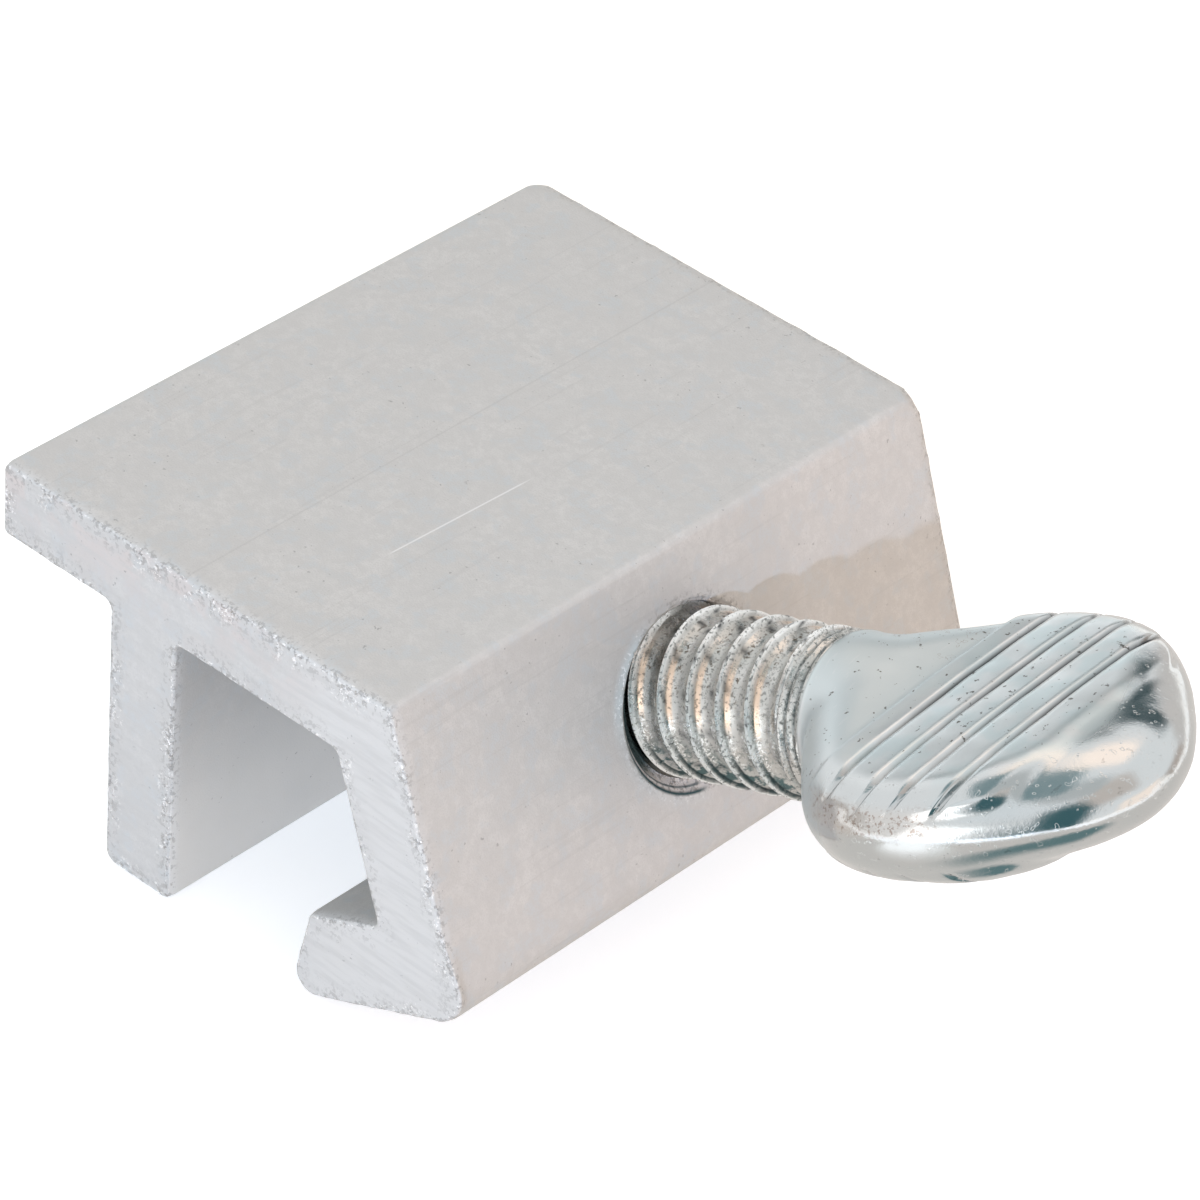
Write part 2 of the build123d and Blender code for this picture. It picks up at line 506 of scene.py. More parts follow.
class HeadForm:
    """The head's bare form: its outline, its thickness, and the rounding of its edge."""

    # How fast the neck widens on either side, per distance along the screw
    flares = {1: 1.0, -1: 1.3}

    def __init__(self, settings):
        self.settings = settings
        self.sides = {}
        steps = 400
        for side in (1, -1):
            points = [disc_point(side * math.pi * step / steps, settings) for step in range(steps + 1)]
            self.sides[side] = sorted((along, abs(wide)) for wide, along in points)
        self.tip = disc_point(0, settings)[1]
        spacing = 0.03 * MM
        last_turn = math.acos((self.tip - 2 * MM - settings.disc_centre) / settings.disc_radius)
        turn_steps = 260
        halves = []
        for side in (-1, 1):
            turns = [side * last_turn * step / turn_steps for step in range(turn_steps)]
            places = [disc_point(turn, settings) for turn in turns]
            along = places[-1][1] - spacing
            while along > NECK_AT:
                places.append((side * self.half_width(along, side), along))
                along -= spacing
            halves.append(places)
        left, right = halves
        self.places = [Vector((wide, along, 0)) for wide, along in left[:0:-1] + right]
        self.outline = KDTree(len(self.places))
        for index, place in enumerate(self.places):
            self.outline.insert(place, index)
        self.outline.balance()

    def inside(self, wide, along):
        """Distance from a point of the head's middle plane to its outline."""
        point = Vector((wide, along, 0))
        nearest = self.outline.find(point)[1]
        distances = []
        for index in (nearest - 1, nearest):
            if 0 <= index < len(self.places) - 1:
                ends = self.places[index:index + 2]
                share = intersect_point_line(point, *ends)[1]
                foot = ends[0].lerp(ends[1], min(1.0, max(0.0, share)))
                distances.append((point - foot).length)
        return min(distances)

    def half_width(self, along, side):
        """Half the head's width on one side, which is the disc's or the neck's, whichever is less."""
        points = self.sides[side]
        disc = 0.0
        for (start, low), (end, high) in zip(points, points[1:]):
            if start <= along <= end:
                disc = low + (high - low) * (along - start) / max(end - start, 1e-9)
                break
        neck = self.settings.crest_radius + self.flares[side] * (along - NECK_AT)
        blend = 0.5 * MM
        gap = abs(disc - neck)
        least = min(disc, neck) - (max(0.0, blend - gap) ** 2) / (4 * blend)
        root = self.settings.crest_radius if along < NECK_AT + 0.6 * MM else 0.0
        return max(least, root)

    def section(self, along, turn):
        """Width and height of the point at this distance along the screw and angle round it.

        Half the thickness there and how far in from the outline it lies, as a share, come with them.
        """
        settings = self.settings
        along = min(along, self.tip)
        side = 1 if math.cos(turn) >= 0 else -1
        wide = self.half_width(along, side) * math.cos(turn)
        depth = self.inside(0, along)
        flat = smoothly(along, NECK_AT, 12.5 * MM)
        far_round = smoothly(along, 17 * MM, 20 * MM)
        depth += flat * (settings.disc_edge_depth + far_round * settings.far_round - depth)
        share = min(1.0, self.inside(wide, along) / depth)
        neck = 1 - smoothly(along, 7.6 * MM, 12.9 * MM)
        disc_height = settings.disc_half_thickness
        thickness = disc_height + neck * (settings.crest_radius - disc_height)
        crown = 1 - 0.07 * flat * (wide / (6 * MM)) ** 2
        rise = thickness * crown * math.sqrt(max(0.0, 1 - (1 - share) ** 2))
        return wide, math.copysign(rise, math.sin(turn)), thickness, share

    def lean(self, along, turn):
        """How far a row is drawn back to the neck here, which grows with its drop down the edge."""
        rise, thickness = self.section(along, turn)[1:3]
        leaning = smoothly(along, 9.5 * MM, 11.5 * MM) * (1 - smoothly(along, 19 * MM, 21 * MM))
        drop = min(max(0.0, thickness - abs(rise) - 0.12 * MM), 0.8 * MM)
        return self.settings.ridge_lean * leaning * drop


def spade_head(name, settings):
    """The forged head with its neck and grip ridges, in the screw's own axes."""
    form = HeadForm(settings)
    # Radii of the first rows, which close the head inside the shank
    inside = [radius * MM for radius in (0.0, 2.0, 2.2, 3.02, 3.14)]
    rows = head_rows(settings)
    segments = 144
    levels = len(rows) - 1
    bpy.ops.mesh.primitive_uv_sphere_add(segments=segments, ring_count=levels, radius=1)
    head = new_object(name)
    with shaping(head) as shape:
        raises = {}
        grooves = []
        rims = []
        for vertex in shape.verts:
            level = levels - round(math.acos(max(-1.0, min(1.0, vertex.co.z))) / math.pi * levels)
            along, raised = rows[level]
            turn = math.atan2(vertex.co.y, vertex.co.x)
            if level < len(inside):
                wide, rise = inside[level] * math.cos(turn), inside[level] * math.sin(turn)
                share = 1.0
            elif level == levels:
                wide, rise, share = 0.0, 0.0, 0.0
            else:
                along -= form.lean(along, turn)
                wide, rise, _, share = form.section(along, turn)
            vertex.co = (wide, rise, along)
            rims.append(smoothly(along, 10 * MM, 13 * MM) * (1 - smoothly(share, 0.55, 0.95)))
            foot = smoothly(abs(rise), settings.ridge_foot, settings.ridge_foot + 0.3 * MM)
            foot *= 1 - 0.7 * smoothly(abs(wide), 5.0 * MM, 6.8 * MM)
            raises[vertex] = settings.ridge_height * raised * foot
            between = GROOVES[0] - 0.3 * MM < rows[level][0] < GROOVES[-1] + 0.3 * MM
            grooves.append(foot * max(0.0, 1 - raised) if between else 0.0)
        shape.normal_update()
        for vertex, height in raises.items():
            vertex.co += vertex.normal * height
    store(head, "groove", grooves)
    store(head, "rim", rims)
    with editing(head):
        pick_all()
        bpy.ops.mesh.normals_make_consistent(inside=False)
    return head


# Materials


def rgba(colour, factor=1.0):
    return (*(channel * factor for channel in colour), 1.0)


def scaled(colour, *factors):
    """The colour with its channels multiplied by one factor, or each by its own."""
    return tuple(channel * factors[index % len(factors)] for index, channel in enumerate(colour))


class Finish:
    """The nodes of a material or of the world, with short calls that add and join them.

    The end is the node that all the others lead to, and the colour is what has been painted so far.
    """

    def __init__(self, owner, end):
        owner.use_nodes = True
        self.owner = owner
        self.nodes = owner.node_tree.nodes
        self.links = owner.node_tree.links
        self.end = self.nodes[end]
        self.colour = None

    def add(self, kind, inputs=(), **settings):
        node = self.nodes.new(kind)
        for key, value in settings.items():
            setattr(node, key, value)
        for key, value in dict(inputs).items():
            self.join(node.inputs[key], value)
        return node

    def join(self, socket, value):
        """Links a socket to another, or sets it to a constant."""
        if isinstance(value, bpy.types.NodeSocket):
            self.links.new(value, socket)
        else:
            socket.default_value = value

    def feed(self, name, value):
        """Links one of the shader's own sockets, or sets it to a constant."""
        self.join(self.end.inputs[name], value)

    def place(self, location=(0, 0, 0), rotation=(0, 0, 0), scale=(1, 1, 1), kind="POINT"):
        """Object coordinates, moved and scaled."""
        coordinates = self.add("ShaderNodeTexCoord").outputs["Object"]
        inputs = {"Vector": coordinates, "Location": location, "Rotation": rotation, "Scale": scale}
        return self.add("ShaderNodeMapping", inputs, vector_type=kind).outputs["Vector"]

    def split(self, where):
        node = self.add("ShaderNodeSeparateXYZ", {"Vector": where})
        return node.outputs["X"], node.outputs["Y"], node.outputs["Z"]

    def stored(self, name):
        """Value that the modelling left on the mesh's vertices under this name."""
        return self.add("ShaderNodeAttribute", attribute_name=name).outputs["Fac"]

    def noise(self, where, per_mm, detail=2.0, roughness=0.5):
        inputs = {"Vector": where, "Scale": per_mm / MM, "Detail": detail, "Roughness": roughness}
        return self.add("ShaderNodeTexNoise", inputs).outputs["Fac"]

    def chain(self, operation, values):
        """The values joined one after another by the same sum."""
        result = values[0]
        for value in values[1:]:
            result = self.add("ShaderNodeMath", {0: result, 1: value}, operation=operation).outputs[0]
        return result

    def plus(self, *values):
        return self.chain("ADD", values)

    def less(self, first, second):
        return self.chain("SUBTRACT", (first, second))

    def times(self, *values):
        return self.chain("MULTIPLY", values)

    def most(self, *values):
        return self.chain("MAXIMUM", values)

    def wrapped(self, value, span):
        """What is left of the value over whole spans."""
        return self.chain("FLOORED_MODULO", (value, span))

    def size(self, value):
        return self.chain("ABSOLUTE", (value, 0))

    def distance(self, first, second):
        """Length of the two sides' diagonal."""
        squares = self.plus(self.times(first, first), self.times(second, second))
        return self.chain("POWER", (squares, 0.5))

    def ramp(self, value, low, high, start=0.0, end=1.0):
        inputs = {"Value": value, "From Min": low, "From Max": high, "To Min": start, "To Max": end}
        node = self.add("ShaderNodeMapRange", inputs, interpolation_type="SMOOTHSTEP")
        return node.outputs["Result"]

    def fall(self, value, low, high):
        """1 below low and 0 above high."""
        return self.ramp(value, low, high, 1, 0)

    def band(self, value, rise, fall):
        """1 between the pair of values where it rises and the pair where it falls."""
        return self.times(self.ramp(value, *rise), self.fall(value, *fall))

    def line(self, value, level, width):
        """1 along the contour where the value is at this level, and 0 past the width."""
        return self.fall(self.size(self.less(value, level)), 0, width)

    def tint(self, share, first, second):
        """Blend of two colours, which is all the second where the share is 1."""
        node = self.add("ShaderNodeMix", data_type="RGBA")
        for index, value in ((0, share), (6, first), (7, second)):
            self.join(node.inputs[index], value)
        return node.outputs[2]

    def paint(self, colour, *shares):
        """Lays a colour over the ones before, as strong as the product of the shares."""
        self.colour = self.tint(self.times(*shares), self.colour, rgba(colour))

    def bump(self, height, distance, strength=1.0, under=None):
        inputs = {"Height": height, "Distance": distance, "Strength": strength}
        if under is not None:
            inputs["Normal"] = under
        return self.add("ShaderNodeBump", inputs).outputs["Normal"]

    def backdrop_rays(self):
        """1 for the rays that show the white background: the camera's, and those in gloss and glass."""
        rays = self.add("ShaderNodeLightPath").outputs
        return self.most(*(rays[f"Is {kind} Ray"] for kind in ("Camera", "Glossy", "Transmission")))


def new_material(name):
    """Nodes of a new material, which end in its shader."""
    return Finish(bpy.data.materials.new(name), "Principled BSDF")


def extruded_aluminium(settings):
    finish = new_material("extruded_aluminium")
    plain = finish.place()
    across, along, up = finish.split(plain)
    on_end = finish.ramp(finish.size(along), body_high.y - 0.1 * MM, body_high.y - 0.03 * MM)
    on_top = finish.ramp(up, UNDER_TOP, UNDER_TOP + 0.05 * MM)
    mottle = finish.noise(plain, 0.5, 3, 0.6)
    chips = finish.ramp(finish.noise(plain, 5.0, 2, 0.7), 0.53, 0.60)
    glints = finish.ramp(finish.noise(plain, 7.0, 2, 0.7), 0.57, 0.63)
    grain = finish.noise(plain, 14.0, 2, 0.6)
    drawn = finish.place(scale=(1, 0.02, 1))
    die_lines = finish.ramp(finish.noise(drawn, 5.0, 1), 0.64, 0.72)
    sawn = finish.place(rotation=(0, math.radians(38), 0), scale=(0.12, 1, 1))
    saw_marks = finish.noise(sawn, 3.5, 2, 0.6)
    arris = finish.stored("arris")

    mill_finish(finish, settings.colour, plain, mottle, grain)
    plate_lines(finish, settings.colour, across, on_top, die_lines)
    end_tones(finish, settings.colour, (across, along, up), on_end, mottle)
    finish.paint(scaled(settings.colour, 0.88), on_end, finish.ramp(saw_marks, 0.4, 0.7, 0.15, 0.6))
    specks = finish.ramp(finish.noise(plain, 4.5, 2, 0.6), 0.69, 0.74)
    crowds = finish.ramp(finish.noise(plain, 0.35, 1), 0.42, 0.60)
    finish.paint(scaled(settings.colour, 0.45), specks, crowds, 0.6)
    long_scratch(finish, across, along, on_top)
    finish.paint(GRIME, chips, finish.stored("near_arris"), 0.38)
    # Painted highlight: near-white glints on the arrises
    finish.paint((1.0, 0.98, 0.95), glints, arris, 0.95)
    mouth_stains_light_and_shade(finish, glints, chips)

    rough = finish.ramp(mottle, 0.3, 0.7, 0.48, 0.58)
    normal = finish.bump(die_lines, 0.01 * MM, 0.3)
    normal = finish.bump(saw_marks, 0.03 * MM, finish.times(on_end, 0.5), normal)
    normal = finish.bump(chips, 0.05 * MM, finish.times(arris, 0.9), normal)
    finish.feed("Base Color", finish.colour)
    finish.feed("Metallic", 0.4)
    finish.feed("Roughness", finish.less(rough, finish.times(glints, arris, 0.35)))
    finish.feed("Normal", finish.bump(grain, 0.012 * MM, 0.7, normal))
    return finish.owner


def mill_finish(finish, bare, plain, mottle, grain):
    """The extrusion's plain surface: mottled, with cooler blotches and a cloth-like grain."""
    blotches = finish.ramp(finish.noise(plain, 0.9, 2, 0.5), 0.50, 0.60)
    cloth = finish.noise(plain, 2.6, 3, 0.65)
    finish.colour = rgba(bare, 1.03)
    finish.paint(scaled(bare, 0.96), finish.ramp(mottle, 0.3, 0.7))
    finish.paint(scaled(bare, 0.89, 0.95, 1.0), blotches, 0.7)
    finish.paint(scaled(bare, 0.93), finish.ramp(cloth, 0.38, 0.62, 0.0, 0.8))
    finish.paint(scaled(bare, 0.9), finish.ramp(grain, 0.45, 0.65, 0.0, 0.6))


def plate_lines(finish, bare, across, on_top, die_lines):
    """The line on the plate over the leg's root, and the lines that the die left."""
    root_line = finish.line(across, 0.34 * MM, 0.07 * MM)
    finish.paint(scaled(bare, 0.72), root_line, on_top, 0.35)
    finish.paint(scaled(bare, 0.7), die_lines, 0.15)


def end_tones(finish, bare, place, on_end, mottle):
    """The sawn ends' pink and pale places, and painted light on the leg's inner face, paler towards its foot where
    the plate shades it less.
    """
    across, along, up = place
    pink = finish.times(on_end, finish.ramp(mottle, 0.46, 0.58), finish.ramp(up, 5.5 * MM, 8.5 * MM))
    finish.paint(scaled(bare, 1.05, 0.93, 0.90), pink, 0.6)
    finish.paint((0.64, 0.635, 0.62), on_end, finish.ramp(across, 4 * MM, 8 * MM))
    # Painted light: the leg's inner face lightened towards its foot, away from the plate's shade
    leg_face = finish.times(finish.line(across, 0, 0.2 * MM), finish.ramp(up, -3 * MM, 5 * MM, 1, 0.1))
    below_plate = finish.fall(up, 5.4 * MM, 5.8 * MM)
    finish.paint((0.75, 0.755, 0.74), leg_face, finish.fall(on_end, 0, 1), below_plate)


def long_scratch(finish, across, along, on_top):
    """One bright scratch on the plate's top, a little off the extrusion's direction."""
    scratch = finish.less(finish.less(across, 4.40 * MM), finish.times(along, 0.04))
    run = finish.band(along, (-7.7 * MM, -7.2 * MM), (-1.5 * MM, -0.3 * MM))
    finish.paint((0.80, 0.80, 0.80), finish.line(scratch, 0, 0.06 * MM), run, on_top, 0.8)


def screw_place(finish):
    """Object coordinates in the screw's own axes, whole and as distances across, up and along it."""
    turned = SCREW_FRAME.to_euler()
    local = finish.place(location=SCREW_FRAME.translation, rotation=turned, kind="TEXTURE")
    return local, *finish.split(local)


def mouth_stains_light_and_shade(finish, glints, chips):
    """The hole's mouth: the tan ring of its countersink, lightened as painted light, a painted shadow as a dark
    line on its edge, dirt in its chips, and the frost round it with painted glints.
    """
    across, up, along = screw_place(finish)[1:]
    radius = finish.distance(finish.less(across, MOUTH_SHIFT[0]), finish.less(up, MOUTH_SHIFT[1]))
    near = finish.fall(finish.size(along), 1.2 * MM, 1.6 * MM)
    ring = finish.times(near, finish.fall(radius, 3.48 * MM, 3.56 * MM))
    # Painted light: the countersink's ring lightened to a warm tan, for the warm side light on it
    finish.paint((0.80, 0.76, 0.74), ring, 0.6)
    finish.paint(GRIME, ring, chips, 0.35)

    left = finish.fall(finish.plus(across, finish.times(up, 0.18)), -1.7 * MM, -1.0 * MM)
    edge = finish.times(near, left, finish.line(radius, 3.46 * MM, 0.13 * MM))
    inner = finish.times(near, left, finish.line(radius, 3.24 * MM, 0.07 * MM), 0.8)
    ledge = finish.times(ring, left, finish.fall(along, -0.32 * MM, -0.22 * MM))
    ledge = finish.times(ledge, finish.ramp(up, -2.4 * MM, -1.2 * MM), 0.92)
    # Painted shadow: the dark gap along the hole's left edge and the ledge inside it
    finish.paint((0.012, 0.06, 0.07), finish.most(edge, inner, ledge))

    halo = finish.times(near, finish.band(radius, (3.52 * MM, 3.58 * MM), (3.65 * MM, 4.2 * MM)))
    upper_left = finish.times(
        finish.fall(across, -2.4 * MM, -1.0 * MM), finish.ramp(up, -0.4 * MM, 1.6 * MM)
    )
    frost = finish.times(halo, finish.plus(finish.times(upper_left, 0.8), finish.times(left, 0.25)))
    finish.paint((0.66, 0.74, 0.77), frost, 0.8)
    # Painted highlight: bright glints on the frost
    finish.paint((0.95, 0.98, 1.0), frost, glints)


def thread_place(finish, across, up, along, settings):
    """Distance along the screw from the nearest crest, positive towards the head."""
    turn = finish.times(finish.chain("ARCTAN2", (up, across)), 1 / (2 * math.pi))
    steps = finish.less(along, settings.crest_phase - settings.pitch / 2)
    share = finish.wrapped(finish.less(finish.times(steps, 1 / settings.pitch), turn), 1)
    return finish.times(finish.less(share, 0.5), settings.pitch)


def zinc_plating(settings):
    finish = new_material("zinc_plated_steel")
    local, across, up, along = screw_place(finish)
    thread = SimpleNamespace()
    thread.whole = finish.fall(along, 7.75 * MM, 7.95 * MM)
    thread.rolled = finish.times(thread.whole, finish.fall(along, 6.6 * MM, 7.0 * MM))
    thread.past_crest = thread_place(finish, across, up, along, settings)
    thread.underside = finish.fall(up, -1.4 * MM, 0.2 * MM)
    off_crest = finish.ramp(finish.size(thread.past_crest), 0.10 * MM, 0.14 * MM)
    thread.in_groove = finish.times(thread.rolled, off_crest)
    thread.on_crest = finish.less(thread.whole, thread.in_groove)
    on_neck = finish.band(along, (7.9 * MM, 8.1 * MM), (11.5 * MM, 12.6 * MM))
    rim = finish.stored("rim")
    off_rim = finish.ramp(rim, 0, 0.6, 1, 0.25)
    mottle = finish.noise(local, 0.8, 3)
    peppering = finish.ramp(finish.noise(local, 7.5, 3, 0.7), 0.54, 0.61)
    stains = finish.ramp(finish.noise(local, 6.0, 3, 0.7), 0.55, 0.60)
    rings = finish.line(finish.noise(local, 4.5, 1, 0.4), 0.68, 0.018)

    plating_tones(finish, settings.colour, local, mottle, rim)
    neck_tones(finish, on_neck, off_rim)
    thread_tones(finish, along, thread)
    neck_pits(finish, local, across, off_rim, on_neck)
    thread_stains_and_painted_light(finish, local, up, thread, peppering, stains)
    thread_lines(finish, along, thread)
    ridge_marks(finish, (across, up, along), rim, rings, stains)

    rough = finish.less(finish.ramp(mottle, 0.3, 0.7, 0.33, 0.39), finish.times(rim, 0.22))
    duller = finish.plus(finish.times(on_neck, 0.12), finish.times(thread.in_groove, 0.08))
    rough = finish.plus(rough, duller, finish.times(thread.rolled, thread.on_crest, 0.15))
    hammered = finish.noise(local, 1.5, 2, 0.5)
    normal = finish.bump(hammered, 0.05 * MM, finish.times(rim, 0.08))
    normal = finish.bump(rings, 0.02 * MM, finish.times(rim, 0.3), normal)
    speckle = finish.plus(finish.times(thread.whole, 0.15), finish.times(thread.on_crest, 0.5), 0.10)
    grain = finish.noise(local, 9.0, 3, 0.65)
    finish.feed("Base Color", finish.colour)
    finish.feed("Metallic", 1.0)
    finish.feed("Roughness", finish.plus(rough, finish.times(thread.whole, peppering, 0.3)))
    finish.feed("Normal", finish.bump(grain, 0.03 * MM, speckle, normal))
    return finish.owner


def plating_tones(finish, bright, local, mottle, rim):
    """The plating's own colour, cloudy all over and darker on the rim."""
    sheen = finish.noise(local, 0.6, 2)
    finish.colour = rgba(bright, 1.12)
    finish.paint(scaled(bright, 1.02), finish.ramp(mottle, 0.3, 0.7))
    finish.paint((0.62, 0.72, 0.74), finish.ramp(sheen, 0.42, 0.6, 0.0, 0.6))
    finish.paint(scaled(bright, 0.88), rim, 0.8)


def neck_tones(finish, on_neck, off_rim):
    """The neck's duller grey, with slanting scratches."""
    slanting = finish.place(rotation=(0, math.radians(35), 0), scale=(1, 0.06, 1))
    scratches = finish.ramp(finish.noise(slanting, 6.0, 2), 0.62, 0.7)
    finish.paint((0.66, 0.72, 0.74), on_neck, off_rim, 0.9)
    finish.paint((0.75, 0.78, 0.80), on_neck, scratches, 0.35)


def thread_tones(finish, along, thread):
    """The thread's duller grooves, its crests painted near white as a painted highlight, and the rolling marks
    where it runs out.
    """
    finish.paint((0.62, 0.62, 0.60), thread.whole, 0.9)
    # Painted highlight: the rolled crests painted near white
    finish.paint((0.96, 0.98, 0.98), thread.rolled, thread.on_crest, 0.9)
    run_out = finish.less(thread.whole, thread.rolled)
    marks = finish.wrapped(finish.less(along, RUN_OUT_AT), MARK_PITCH)
    finish.paint((0.16, 0.18, 0.18), run_out, finish.line(marks, 0.2 * MM, 0.1 * MM), 0.8)


def neck_pits(finish, local, across, off_rim, on_neck):
    """Dark spots all over but the rim, and rusty pits on one side of the neck."""
    spots = finish.ramp(finish.noise(local, 3.2, 3, 0.65), 0.655, 0.69)
    finish.paint((0.10, 0.09, 0.08), spots, off_rim, 0.85)
    pits = finish.line(finish.noise(local, 1.1, 3, 0.6), 0.54, 0.006)
    finish.paint((0.22, 0.13, 0.08), pits, finish.ramp(across, 0.5 * MM, 2.5 * MM), on_neck, 0.6)


def thread_stains_and_painted_light(finish, local, up, thread, peppering, stains):
    """A painted warm reflection and painted shade, with brown stains, peppering and salt in the grooves and on the
    crests.
    """
    high = finish.ramp(up, 0.6 * MM, 1.8 * MM)
    middle = finish.band(up, (0.2 * MM, 0.9 * MM), (2.0 * MM, 2.9 * MM))
    waist = finish.band(up, (-1.4 * MM, -0.6 * MM), (0.2 * MM, 1.0 * MM))
    past_crest = thread.past_crest
    after_crest = finish.band(past_crest, (0.13 * MM, 0.18 * MM), (0.30 * MM, 0.42 * MM))
    # Painted reflection: a warm streak on the flank just after each crest
    finish.paint((0.95, 0.70, 0.52), thread.rolled, after_crest, middle, 0.75)
    patches = finish.ramp(finish.noise(local, 1.9, 3, 0.65), 0.42, 0.55)
    just_past = finish.ramp(past_crest, 0.45 * MM, 0.65 * MM, 1, 0.25)
    # Painted shade: dark teal patches in the grooves on the screw's underside
    finish.paint((0.05, 0.13, 0.14), thread.in_groove, thread.underside, patches, just_past, 0.9)
    mid_groove = finish.line(past_crest, 0.50 * MM, 0.22 * MM)
    finish.paint((0.12, 0.09, 0.06), thread.rolled, mid_groove, high, stains, 0.85)
    finish.paint((0.12, 0.13, 0.13), thread.in_groove, peppering, 0.4)
    glitter = finish.ramp(finish.noise(local, 9.0, 2, 0.7), 0.53, 0.57)
    salt = finish.times(waist, finish.fall(past_crest, 0.3 * MM, 0.5 * MM), glitter)
    finish.paint((0.98, 1.0, 1.0), thread.rolled, salt)
    finish.paint((0.08, 0.10, 0.10), thread.on_crest, peppering, 0.6)


def thread_lines(finish, along, thread):
    """Painted shade in dark lines beside each crest, under the crests on the underside and at the neck, and the
    seam that rolling left in the crest.
    """
    # Painted shade: dark lines in the creases beside each crest, under the crests on the underside and at the neck
    before = finish.times(thread.rolled, finish.line(thread.past_crest, -0.145 * MM, 0.06 * MM))
    at_neck = finish.times(thread.whole, finish.line(along, NECK_AT - 0.1 * MM, 0.07 * MM))
    below = finish.line(thread.past_crest, 0.155 * MM, 0.06 * MM)
    under = finish.times(thread.rolled, thread.underside, below)
    finish.paint((0.05, 0.075, 0.08), finish.most(before, at_neck, under))
    seam = finish.line(thread.past_crest, 0.0, 0.03 * MM)
    finish.paint((0.10, 0.12, 0.12), thread.rolled, seam, 0.4)


def ridge_marks(finish, place, rim, rings, stains):
    """Pale rings on the rim, painted shade darkening the grooves between the ridges, and brown stains at the
    ridges' feet.
    """
    across, up, along = place
    finish.paint((0.95, 0.98, 1.0), rings, rim, 0.3)
    # Painted shade: the grooves between the ridges darkened, fading towards one side of the head
    fading = finish.ramp(across, -5.5 * MM, 1.0 * MM, 0.25, 0.93)
    finish.paint((0.05, 0.055, 0.06), finish.stored("groove"), fading)
    foot = finish.band(up, (0.3 * MM, 0.7 * MM), (1.1 * MM, 1.5 * MM))
    foot = finish.times(foot, finish.band(along, (11 * MM, 12 * MM), (16 * MM, 17.5 * MM)))
    finish.paint((0.66, 0.58, 0.52), foot, 0.35)
    finish.paint((0.28, 0.20, 0.16), foot, stains, 0.6)


# Pieces


